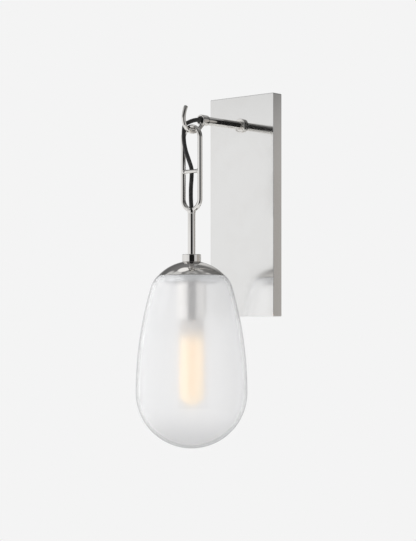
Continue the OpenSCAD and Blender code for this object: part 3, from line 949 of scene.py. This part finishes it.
    @staticmethod
    def patch(tree: Tree, ahead: Socket, softbox: Softbox) -> Socket:
        """Places one round patch in the room.

        Args:
            tree: The world's node tree.
            ahead: The socket that gives the ray's direction.
            softbox: The patch's place, size and tone.

        Returns:
            The socket of its tone, 0 outside the patch.
        """
        core, rim = (math.cos(math.radians(angle)) for angle in (softbox.core, softbox.rim))
        inputs = {"Direction": ahead, "Axis": softbox.axis, "Core": core, "Rim": rim, "Tone": softbox.tone}
        return place_group(tree, softbox_group(), **inputs)["Tone"]

    @staticmethod
    def behind_glass(tree: Tree, path: Any) -> Socket:
        """Finds the rays that the socket cup mirrors inside the shade.

        Args:
            tree: The world's node tree.
            path: The outputs of its Light Path node.

        Returns:
            A socket that is 1 for a ray that went in through the glass, met a mirror and came out again.
        """
        met = arithmetic(tree, "GREATER_THAN", path["Glossy Depth"], 0.5)
        passed = arithmetic(tree, "GREATER_THAN", path["Transmission Depth"], 2.5)
        return arithmetic(tree, "MULTIPLY", met, passed)

    def ramp(self, tree: Tree, place: Socket, tones: Tones, warm: Point2 = (2.0, 2.0)) -> Socket:
        """A ramp of grey tones, some of them a little warm.

        Args:
            tree: The world's node tree.
            place: The socket that picks the place on the ramp.
            tones: Pairs of place and brightness, in rising order of place.
            warm: The first and last place of the warm tones.

        Returns:
            The ramp's colour socket.
        """
        node = add_node(tree, "ShaderNodeValToRGB", {"Fac": place})
        elements = node.color_ramp.elements
        elements.remove(elements[-1])
        elements[0].position = tones[0][0]
        for i, (share, tone) in enumerate(tones):
            element = elements.new(share) if i else elements[0]
            warmth = self.warmth if warm[0] <= share <= warm[1] else 0.0
            element.color = (tone * (1 + warmth), tone, tone * (1 - warmth), 1.0)
        return node.outputs["Color"]

    def build(self) -> None:
        """Builds the camera, the floor, the room and the lights: a large one from the front left leads."""
        view = bpy.context.scene.view_settings
        view.view_transform = "Standard"
        view.look = "None"
        self.camera()
        self.floor()
        self.surround()
        self.panel("key_panel", (-1.3, -1.5, 0.9), (1.4, 1.6), 16.0)
        self.panel("fill_panel", (1.5, -0.9, 0.4), (1.0, 1.4), 7.0)
        self.panel("top_panel", (0.0, -0.4, 1.7), (1.4, 1.4), 9.0)


# The sconce

HOOK_BAR_R = 2.3 * MM
LINK_BAR_R = 2.75 * MM


@dataclass
class Hanging:
    """The places that the hanging pieces share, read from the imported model's nodes."""

    arm_z: float
    mouth_out: float
    hang_out: float
    hook_low_z: float
    link_top: float
    link_bottom: float
    rim_z: float

    @classmethod
    def from_frame(cls) -> "Hanging":
        """Reads the places from the nodes' boxes.

        Returns:
            The shared places, in metres.
        """
        sleeve_low, sleeve_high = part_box("end_sleeve")
        link_low, link_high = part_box("link")
        return cls(
            arm_z=(sleeve_low.z + sleeve_high.z) / 2,
            mouth_out=-sleeve_low.y,
            hang_out=-(link_low.y + link_high.y) / 2,
            hook_low_z=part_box("hook")[0].z + HOOK_BAR_R,
            link_top=link_high.z,
            link_bottom=link_low.z,
            rim_z=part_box("cap")[0].z,
        )


@dataclass
class SubAssembly:
    """Pieces that are built, dressed and seated together."""

    palette: Palette
    at: Hanging

    def axis_at(self, z: float) -> tuple[float, float, float]:
        """The point of the pendant's upright axis at a height."""
        return (0.0, -self.at.hang_out, z)

    def seat(
        self, piece: Object, body: Body, nodes: Sequence[str], slot: str = "polished_nickel",
        finishes: Sequence[Finish] = (NICKEL,),
    ) -> None:
        """Dresses a piece, makes it ride on a body and stand for its CAD nodes.

        Args:
            piece: The finished mesh.
            body: The body that it moves with.
            nodes: The CAD nodes that it stands for.
            slot: The name of the piece's material slot; not used.
            finishes: One finish for each of its material slots.
        """
        self.palette.dress(piece, *finishes)
        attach(piece, body.value)
        if nodes:
            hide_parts(*nodes)
        LOG.info("piece %s on %s, %d faces", piece.name, body.value, len(piece.data.polygons))


@dataclass
class CordRun(SubAssembly):
    """The cord's free stretch, made as two lengths.

    The route's points by the arm are given from its mouth as (x, out, up), and those by the link from its top as
    (x, out, share of the link's height).
    """

    diameter: float = 4.7 * MM
    inset: float = 1.0 * MM
    step: float = 1.2 * MM
    split: int = 7
    bend: float = 22.0 * MM
    stem_reach: float = 2.0 * MM
    by_arm: tuple[Colour, ...] = ((0.0, 0.0015, 0.0), (-0.002, 0.0046, -0.0002), (-0.0046, 0.009, -0.0016))
    by_link: tuple[Colour, ...] = (
        (-0.0056, 0.0005, -0.024), (-0.0057, 0.0036, -0.008), (-0.0057, 0.0057, 0.024), (-0.0056, 0.0068, 0.1),
        (-0.0056, 0.0063, 0.2), (-0.0052, 0.0038, 0.3), (-0.0048, -0.0006, 0.4), (-0.0048, -0.0046, 0.48),
        (-0.0048, -0.0054, 0.54), (-0.0042, -0.0044, 0.62), (-0.0032, -0.0024, 0.72), (-0.0018, -0.0008, 0.84),
        (-0.0004, 0.0, 0.94),
    )

    def route(self) -> list[Vector]:
        """The route's own points: the CAD tube's, with a hair more room beside the link's top bend.

        Returns:
            The points from the arm's mouth to the stem, in metres.
        """
        at = self.at
        height = at.link_top - at.link_bottom
        points = [Vector((0.0, self.inset - at.mouth_out, at.arm_z))]
        points += [Vector((x, -at.mouth_out - out, at.arm_z + up)) for x, out, up in self.by_arm]
        points += [Vector((x, -at.hang_out - out, at.link_top - share * height)) for x, out, share in self.by_link]
        points.append(Vector(self.axis_at(at.link_bottom + LINK_BAR_R - self.stem_reach)))
        return points

    def build(self) -> None:
        """Makes and dresses both lengths of the cord."""
        points = self.route()
        curve = smooth_path(points, self.step)
        cut = min(range(len(curve)), key=lambda i: (curve[i] - points[self.split]).length)
        upper, lower = curve[: cut + 1], curve[cut:]
        for name, path, bodies, end in (
            ("cord_over_hook", upper, (Body.MOUNT, Body.CORD), upper[-1]),
            ("cord_down_link", lower, (Body.CORD, Body.PENDANT), lower[0] - Vector((0.0, 0.0, self.bend))),
        ):
            piece = self.palette.dress(sweep(name, path, [self.diameter / 2] * len(path), sides=20), JACKET)
            if bodies[0] is Body.MOUNT:
                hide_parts("cord_span")
            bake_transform(piece)
            LOG.info("piece %s, %.1f mm long", name, path_length(path) / MM)


@dataclass
class Backplate(SubAssembly):
    """The tall pan against the wall, with a soft edge round its mirror face."""

    sheet: float = 1.6 * MM
    edge: float = 0.5 * MM
    margin: float = 0.4 * MM
    corner: float = 1.2 * MM
    least_corner: float = 0.25 * MM
    steps: int = 5

    def outline(self, half_w: float, half_h: float, inset: float) -> list[Point2]:
        """A rectangle with rounded corners, set in from the plate's sides.

        Args:
            half_w: Half the plate's width.
            half_h: Half its height.
            inset: The distance from the plate's sides.

        Returns:
            The outline's points.
        """
        radius = max(self.corner - inset, self.least_corner)
        w = half_w - inset - radius
        h = half_h - inset - radius
        points = []
        for x, z, start in ((w, -h, -90), (w, h, 0), (-w, h, 90), (-w, -h, 180)):
            points += arc((x, z), radius, start, start + 90, self.steps)
        return points

    def build(self) -> None:
        """Makes the pan from rings of points, listed from its inner floor round to its face."""
        low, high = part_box("backplate")
        depth, half_h = -low.y, (high.z - low.z) / 2
        rings = [(self.sheet, depth - self.sheet), (self.sheet, 0.0), (0.0, 0.0)]
        for i in range(self.steps + 1):
            angle = math.radians(90 * i / self.steps)
            rings.append((self.edge * (1 - math.cos(angle)), depth - self.edge * (1 - math.sin(angle))))
        rings.append((self.edge + self.margin, depth))
        verts = []
        for inset, out in reversed(rings):
            verts += [(x, -out, z) for x, z in self.outline(half_width("backplate"), half_h, inset)]
        piece = skin("plate_shell", verts, len(verts) // len(rings))
        self.seat(piece, Body.MOUNT, ["backplate"], finishes=(PLATE_NICKEL,))


@dataclass
class Arm(SubAssembly):
    """The straight arm: its collar on the plate, its tube and the sleeve with a rolled lip."""

    collar_edge: float = 0.6 * MM
    dish: float = 1.2 * MM
    dish_lift: float = 0.55
    bore_edge: float = 0.4 * MM
    bore_drop: float = 0.5 * MM
    wall: float = 1.2 * MM
    tube_edge: float = 0.3 * MM
    sleeve_edge: float = 0.5 * MM
    lip: float = 0.9 * MM

    def turned(self, name: str, node: str, outline: list[Point2]) -> None:
        """Turns an outline about the arm, from the wall's side of a CAD node outwards."""
        place = (0.0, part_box(node)[1].y, self.at.arm_z)
        self.seat(lathe(name, outline, place, Turn.OUT), Body.MOUNT, [node])

    def build(self) -> None:
        """Turns the collar that covers the plate's hole, the thin-walled tube and the sleeve round its mouth."""
        r = half_width("arm_tube")
        lengths = {}
        for node in ("base_collar", "arm_tube", "end_sleeve"):
            low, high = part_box(node)
            lengths[node] = high.y - low.y
        collar_r, h, e = half_width("base_collar"), lengths["base_collar"], self.collar_edge
        collar = [(r, 0.0)] + arc((collar_r - e, e), e, -90, 0, 8) + arc((collar_r - e, h - e), e, 0, 110, 9)
        collar += arc((r + self.dish, h + self.dish_lift * self.dish), self.dish, -35, -120, 8)
        collar += arc((r + self.bore_edge, h - self.bore_drop), self.bore_edge, 60, 180, 5)
        self.turned("plate_collar", "base_collar", collar)
        h, e = lengths["arm_tube"], self.tube_edge
        self.turned("arm_pipe", "arm_tube", [(r - self.wall, 0.0), (r - e, 0.0), (r, e), (r, h), (r - self.wall, h)])
        sleeve_r, h, e = half_width("end_sleeve"), lengths["end_sleeve"], self.sleeve_edge
        sleeve = [(r, 0.0), (sleeve_r - e, 0.0)] + arc((sleeve_r - e, e), e, -90, 0, 5)
        sleeve += arc((sleeve_r - self.lip, h - self.lip), self.lip, 0, 180, 14)
        self.turned("mouth_sleeve", "end_sleeve", sleeve + [(r, h - self.lip - self.bore_edge)])


@dataclass
class Hook(SubAssembly):
    """The open hook, one round bar in three bends that runs up under the sleeve."""

    rear_r: float = 20.0 * MM
    front_r: float = 13.0 * MM
    tip_r: float = 28.0 * MM
    rear_end: float = 208.0
    tip_angle: float = 31.0
    flare: float = 0.9 * MM
    flare_steps: int = 9
    tip_back: float = 0.35 * MM
    tip_edge: float = 0.3 * MM

    def centreline(self) -> list[Vector]:
        """The bar's centreline, from the sleeve to the tip.

        Returns:
            The points in order.
        """
        low, out = self.at.hook_low_z, self.at.hang_out
        rear = arc((out, low + self.rear_r), self.rear_r, self.rear_end, 270, 26)
        front = arc((out, low + self.front_r), self.front_r, 270, 360, 36)
        tip = arc((out + self.front_r - self.tip_r, low + self.front_r), self.tip_r, 0, self.tip_angle, 18)
        return [Vector((0.0, -y, z)) for y, z in rear + front[1:] + tip[1:]]

    def build(self) -> None:
        """Sweeps the bar: it flares into its braze at the sleeve and has a slightly broken edge at its tip."""
        path = self.centreline()
        radii = [HOOK_BAR_R] * len(path)
        for i in range(self.flare_steps):
            radii[i] += self.flare * (1 - i / self.flare_steps) ** 3
        tip = path[-1]
        path[-1] = tip - self.tip_back * (tip - path[-2]).normalized()
        path.append(tip)
        radii.append(HOOK_BAR_R - self.tip_edge)
        self.seat(sweep("open_hook", path, radii, sides=32), Body.MOUNT, ["hook"])


@dataclass
class Link(SubAssembly):
    """The long oval link, its crossbar with flared ends and the stem brazed into its bottom."""

    stem_r: float = 4.25 * MM
    stem_bore: float = 2.8 * MM
    crossbar_r: float = 2.1 * MM
    flare: float = 0.95 * MM
    flare_l: float = 2.6 * MM
    flare_sink: float = 1.6 * MM
    braze_out: float = 0.55 * MM
    braze_in: float = 0.2 * MM
    braze_low: float = -3.4 * MM
    braze_l: float = 5.6 * MM
    braze_ends: Point2 = (-3.6 * MM, 2.3 * MM)
    braze_drop: float = 0.6 * MM

    def oval(self) -> None:
        """Sweeps the link's bar round its oval."""
        arc_r = half_width("link") - LINK_BAR_R
        top = self.at.link_top - LINK_BAR_R - arc_r
        bottom = self.at.link_bottom + LINK_BAR_R + arc_r
        straight = 14
        line = arc((0.0, top), arc_r, 0, 180, 48)
        line += [(-arc_r, top + (bottom - top) * i / straight) for i in range(1, straight)]
        line += arc((0.0, bottom), arc_r, 180, 360, 48)
        line += [(arc_r, bottom + (top - bottom) * i / straight) for i in range(1, straight)]
        path = [Vector((x, -self.at.hang_out, z)) for x, z in line]
        piece = sweep("oval_link", path, [LINK_BAR_R] * len(path), sides=32, closed=True)
        self.seat(piece, Body.PENDANT, ["link"])

    def crossbar(self) -> None:
        """Turns the crossbar with a concave flare at each leg."""
        low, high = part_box("link_crossbar")
        leg_face = half_width("link_crossbar") - LINK_BAR_R
        side = []
        for i in range(9):
            share = i / 8
            side.append((self.crossbar_r + self.flare * share ** 2.6, leg_face - self.flare_l * (1 - share)))
        side.append((self.crossbar_r + self.flare * 0.7, leg_face + self.flare_sink))
        outline = [(0.0, -side[-1][1])] + [(r, -x) for r, x in reversed(side)] + side + [(0.0, side[-1][1])]
        piece = lathe("crossbar", outline, self.axis_at((low.z + high.z) / 2), Turn.RIGHT, sides=40)
        self.seat(piece, Body.PENDANT, ["link_crossbar"])

    def stem(self) -> None:
        """Turns the stem's tube, with a rounded mouth between the link's two halves."""
        low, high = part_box("stem")
        depth = high.z - low.z
        wall = (self.stem_r - self.stem_bore) / 2
        outline = [(self.stem_bore, -depth), (self.stem_r, -depth), (self.stem_r, -wall)]
        outline += arc((self.stem_r - wall, -wall), wall, 0, 180, 12)[1:]
        self.seat(lathe("stem_pipe", outline, self.axis_at(high.z), sides=64), Body.PENDANT, ["stem"])

    def braze(self) -> None:
        """Adds the smooth collar of braze where the link's bends run into the stem."""
        inner = self.stem_r - self.braze_in
        outline = [(inner, self.braze_ends[0])]
        for i in range(13):
            bulge = self.braze_out * math.sin(math.pi * i / 12)
            outline.append((self.stem_r + bulge, self.braze_low + self.braze_l * i / 12))
        outline.append((inner, self.braze_ends[1]))
        place = self.axis_at(self.at.link_bottom + LINK_BAR_R - self.braze_drop)
        self.seat(lathe("stem_braze", outline, place, sides=64), Body.PENDANT, [])

    def build(self) -> None:
        """Builds the link, its crossbar and the stem."""
        self.oval()
        self.crossbar()
        self.stem()
        self.braze()


@dataclass
class Cap(SubAssembly):
    """The spun cap over the glass and the turned collar on its crown."""

    sheet: float = 1.2 * MM
    sphere_r: float = 51.0 * MM
    rim_edge: float = 0.12 * MM
    rim_lift: float = 0.35
    bead: float = 0.5 * MM
    foot: float = 0.2 * MM
    bore_edge: float = 0.4 * MM

    def dome(self) -> None:
        """Turns the cap: a shallow bowl of thin sheet, upside down, with a soft rim."""
        rim_r, hole, rim_z = half_width("cap"), half_width("stem"), self.at.rim_z
        centre = rim_z - math.sqrt(self.sphere_r ** 2 - rim_r ** 2)
        rim_angle = math.degrees(math.acos(rim_r / self.sphere_r))
        top_angle = math.degrees(math.acos(hole / self.sphere_r))
        inner_r = self.sphere_r - self.sheet
        inner_rim = math.degrees(math.asin((rim_z - centre) / inner_r))
        inner_top = math.degrees(math.acos(hole / inner_r))
        outline = [(rim_r - self.rim_edge, rim_z)]
        outline += arc((0.0, centre), self.sphere_r, rim_angle + self.rim_lift, top_angle, 48)
        outline += arc((0.0, centre), inner_r, inner_top, inner_rim, 40)
        self.seat(lathe("spun_cap", outline, self.axis_at(0.0), sides=128), Body.PENDANT, ["cap"])

    def collar(self) -> None:
        """Turns the collar with two soft edges; its foot sinks to the cap's curve."""
        low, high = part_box("cap_collar")
        r, bore, h = half_width("cap_collar"), half_width("stem"), high.z - low.z
        b, e = self.bead, self.bore_edge
        outline = [(bore, self.foot), (r - b, 0.0)] + arc((r - b, b), b, -90, 0, 6)
        outline += arc((r - b, h - b), b, 0, 90, 6) + [(bore + 2 * e, h)]
        outline += arc((bore + e, h - e), e, 90, 180, 4)
        self.seat(lathe("crown_collar", outline, self.axis_at(low.z)), Body.PENDANT, ["cap_collar"])

    def build(self) -> None:
        """Builds the cap and its collar."""
        self.dome()
        self.collar()


@dataclass
class Shade(SubAssembly):
    """The egg-shaped glass: a clear outer face and an etched inner one."""

    wall: float = 3.5 * MM
    flank_r: float = 415.0 * MM
    shoulder_r: float = 27.0 * MM
    rim_r: float = 37.2 * MM

    def face(self, inset: float, low: float, top: float, widest: float) -> list[Point2]:
        """One face of the glass from its mouth to its lowest point, in three arcs.

        Args:
            inset: The distance from the outer face.
            low: The outer face's lowest height.
            top: The mouth's height.
            widest: The outer face's largest radius.

        Returns:
            The face's points as (radius, height).
        """
        ball_z = low + widest
        flank_x = widest - self.flank_r
        reach = self.flank_r - self.shoulder_r
        rim = Vector((self.rim_r - flank_x, top - ball_z))
        corner = (rim.length_squared + reach ** 2 - self.shoulder_r ** 2) / (2 * rim.length * reach)
        join = math.atan2(rim.y, rim.x) - math.acos(corner)
        centre = (flank_x + reach * math.cos(join), ball_z + reach * math.sin(join))
        shoulder = self.shoulder_r - inset
        mouth = math.degrees(math.asin((top - centre[1]) / shoulder))
        join_deg = math.degrees(join)
        points = arc(centre, shoulder, mouth, join_deg, 20)
        points += arc((flank_x, ball_z), self.flank_r - inset, join_deg, 0, 44)[1:]
        points += arc((0.0, ball_z), widest - inset, 0, -90, 56)[1:]
        points[-1] = (0.0, points[-1][1])
        return points

    def build(self) -> None:
        """Turns the glass as one closed wall with a finish for each face."""
        low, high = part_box("shade")
        outer, inner = (self.face(inset, low.z, high.z, half_width("shade")) for inset in (0.0, self.wall))
        outline = outer[::-1] + inner
        marks = [0] * len(outer) + [1] * (len(inner) - 1) + [0]
        piece = lathe("glass_shade", outline, self.axis_at(0.0), sides=160, marks=marks)
        self.seat(piece, Body.SHADE, ["shade"], "frosted_glass", (CLEAR_FACE, SATIN_FACE))


@dataclass
class Lamp(SubAssembly):
    """The tubular lamp: a screw base with rolled threads and a glowing glass tube."""

    pitch: float = 3.6 * MM
    turns: int = 5
    thread_start: float = 2.6 * MM
    thread_depth: float = 0.7 * MM
    wall: float = 0.8 * MM
    neck_inset: float = 0.5 * MM
    shoulder_l: float = 9.0 * MM

    def tube(self) -> None:
        """Turns the tube of glass: neck, soft shoulder, straight side and round end."""
        low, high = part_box("lamp_envelope")
        r = half_width("lamp_envelope")
        neck = half_width("lamp_base") - self.neck_inset
        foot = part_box("lamp_base")[0].z
        outer = [(neck, high.z), (neck, foot)]
        for i in range(1, 13):
            share = i / 12
            ease = share * share * (3 - 2 * share)
            outer.append((neck + (r - neck) * ease, foot - self.shoulder_l * share))
        outer += arc((0.0, low.z + r), r, 0, -90, 28)
        outer[-1] = (0.0, outer[-1][1])
        inner = []
        for radius, z in outer:
            inner.append((max(radius - self.wall, 0.0), z + self.wall if radius < 1e-6 else z))
        inner = [p for p in inner if p[1] >= low.z + self.wall]
        piece = lathe("lamp_tube", outer[::-1] + inner, self.axis_at(0.0), sides=72)
        self.seat(piece, Body.LAMP, ["lamp_envelope"], "lamp_glass", (LAMP_GLOW,))

    def base(self) -> None:
        """Turns the screw base with a helical thread rolled into its shell."""
        low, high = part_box("lamp_base")
        r = half_width("lamp_base")
        sides, rows = 72, 120
        start = low.z + self.thread_start
        end = start + self.turns * self.pitch
        verts = []
        for row in range(rows + 1):
            z = low.z + (high.z - low.z) * row / rows
            for k in range(sides):
                angle = 2 * math.pi * k / sides
                wave = 0.5 - 0.5 * math.cos(2 * math.pi * (z - start) / self.pitch - angle)
                fade = min(1.0, max(0.0, (z - start) / self.pitch), max(0.0, (end - z) / self.pitch))
                radius = r - self.thread_depth * wave * fade
                verts.append((radius * math.cos(angle), -self.at.hang_out + radius * math.sin(angle), z))
        self.seat(skin("screw_base", verts, sides), Body.LAMP, ["lamp_base"], "lamp_base_nickel", (LAMP_SHELL,))

    def build(self) -> None:
        """Builds the lamp's tube and base."""
        self.tube()
        self.base()


@dataclass
class Hardware(SubAssembly):
    """The small and hidden pieces whose CAD shape is right and only needs a finish."""

    def build(self) -> None:
        """Dresses each CAD node in its finish."""
        for finish, nodes in (
            (ZINC, ("wall_bracket", "plate_screws", "arm_washer", "arm_nut", "shade_holder", "shade_springs",
                    "stem_nut", "lamp_leads")),
            (GREEN, ("ground_screw",)),
            (BLACK_PLASTIC, ("mouth_bushing", "lamp_insulator")),
            (JACKET, ("arm_cord", "stem_cord")),
            (INSULATION, ("supply_leads",)),
            (ORANGE_PLASTIC, ("wire_caps",)),
            (PORCELAIN, ("socket_insulator",)),
            (BRASS, ("socket_shell", "socket_contact", "lamp_contact")),
            (NICKEL, ("socket_cup",)),
            (LAMP_GLASS, ("lamp_mount",)),
            (FILAMENT, ("lamp_filaments",)),
        ):
            for node in nodes:
                self.palette.dress(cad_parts[node], finish)
                LOG.info("node %s in %s", node, finish.name)


def main() -> None:
    """Builds the studio and the sconce in order."""
    logging.basicConfig(level=logging.INFO, format="%(name)s: %(message)s")
    palette = Palette()
    at = Hanging.from_frame()
    Studio(palette).build()
    for group in (CordRun, Backplate, Arm, Hook, Link, Cap, Shade, Lamp, Hardware):
        group(palette, at).build()
        LOG.info("built %s", group.__name__)


if __name__ == "__main__":
    main()
